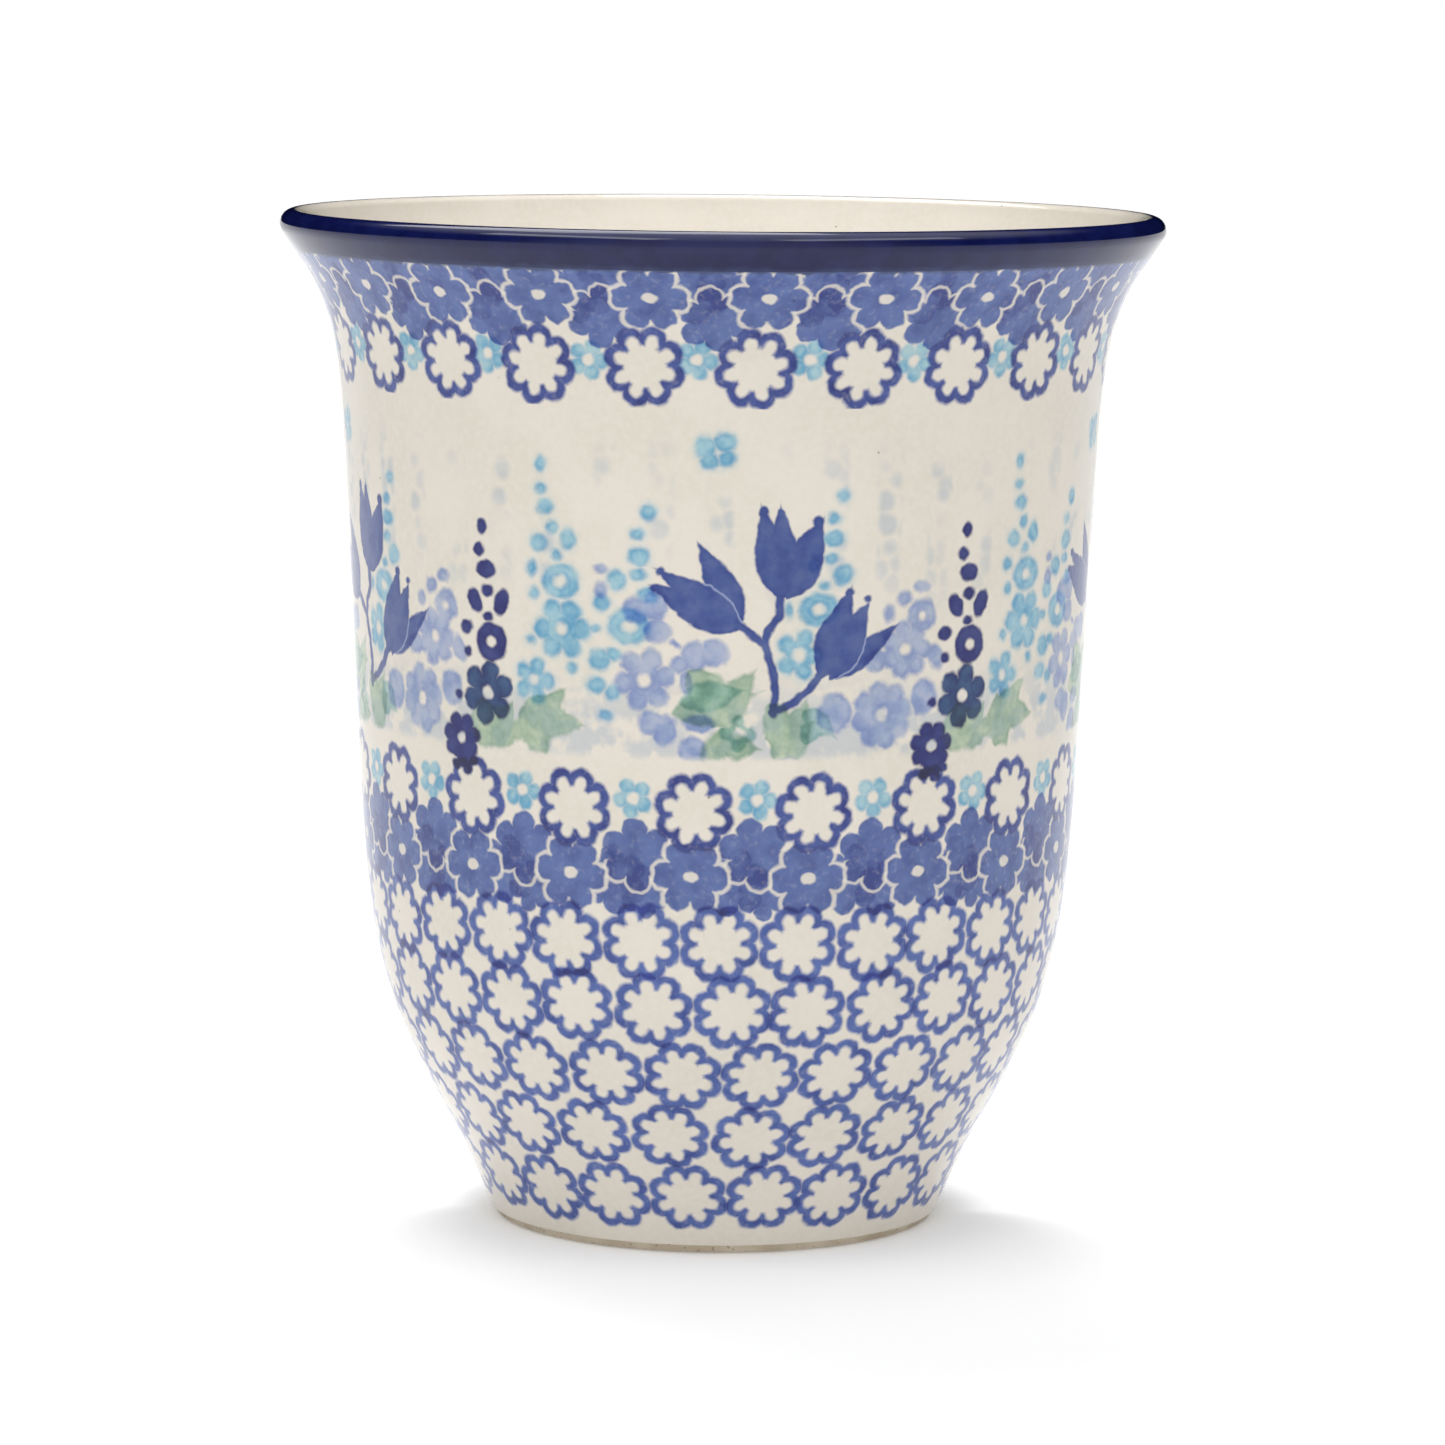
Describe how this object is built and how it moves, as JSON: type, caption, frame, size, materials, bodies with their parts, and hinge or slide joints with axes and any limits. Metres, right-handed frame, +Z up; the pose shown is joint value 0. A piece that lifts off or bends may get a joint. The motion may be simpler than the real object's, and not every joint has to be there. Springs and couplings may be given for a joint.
{
  "type": "mug",
  "caption": "Flared stoneware mug with no handle: cobalt rim, floral borders round a painted garden, and a tapered foot covered in floret outlines.",
  "frame": {"origin": "centre of the foot ring, on the surface that the mug stands on", "axes": "+Z up along the mug's axis; -Y faces the front of the painted garden"},
  "size_m": [0.1048, 0.1048, 0.12],
  "materials": {
    "fired_clay": "bare fired stoneware, fine grained and matt",
    "cobalt_rim": "glossy cobalt band",
    "upper_border": "glossy clear glaze over blue flowers and floret outlines",
    "garden": "glossy clear glaze over a garden painted on cream",
    "lower_border": "glossy clear glaze over floret outlines and blue flowers",
    "florets": "glossy clear glaze over rows of blue floret outlines on cream",
    "foot_glaze": "glossy cream glaze",
    "cream_glaze": "glossy cream glaze",
    "base_glaze": "glossy cream glaze, plain and unmarked"
  },
  "bodies": {
    "root": {"stoneware_body": "fired_clay", "rim_band": "cobalt_rim", "upper_border": "upper_border", "garden_band": "garden", "lower_border": "lower_border", "floret_field": "florets", "foot_band": "foot_glaze", "inside_glaze": "cream_glaze", "base_glaze": "base_glaze"}
  },
  "joints": []
}
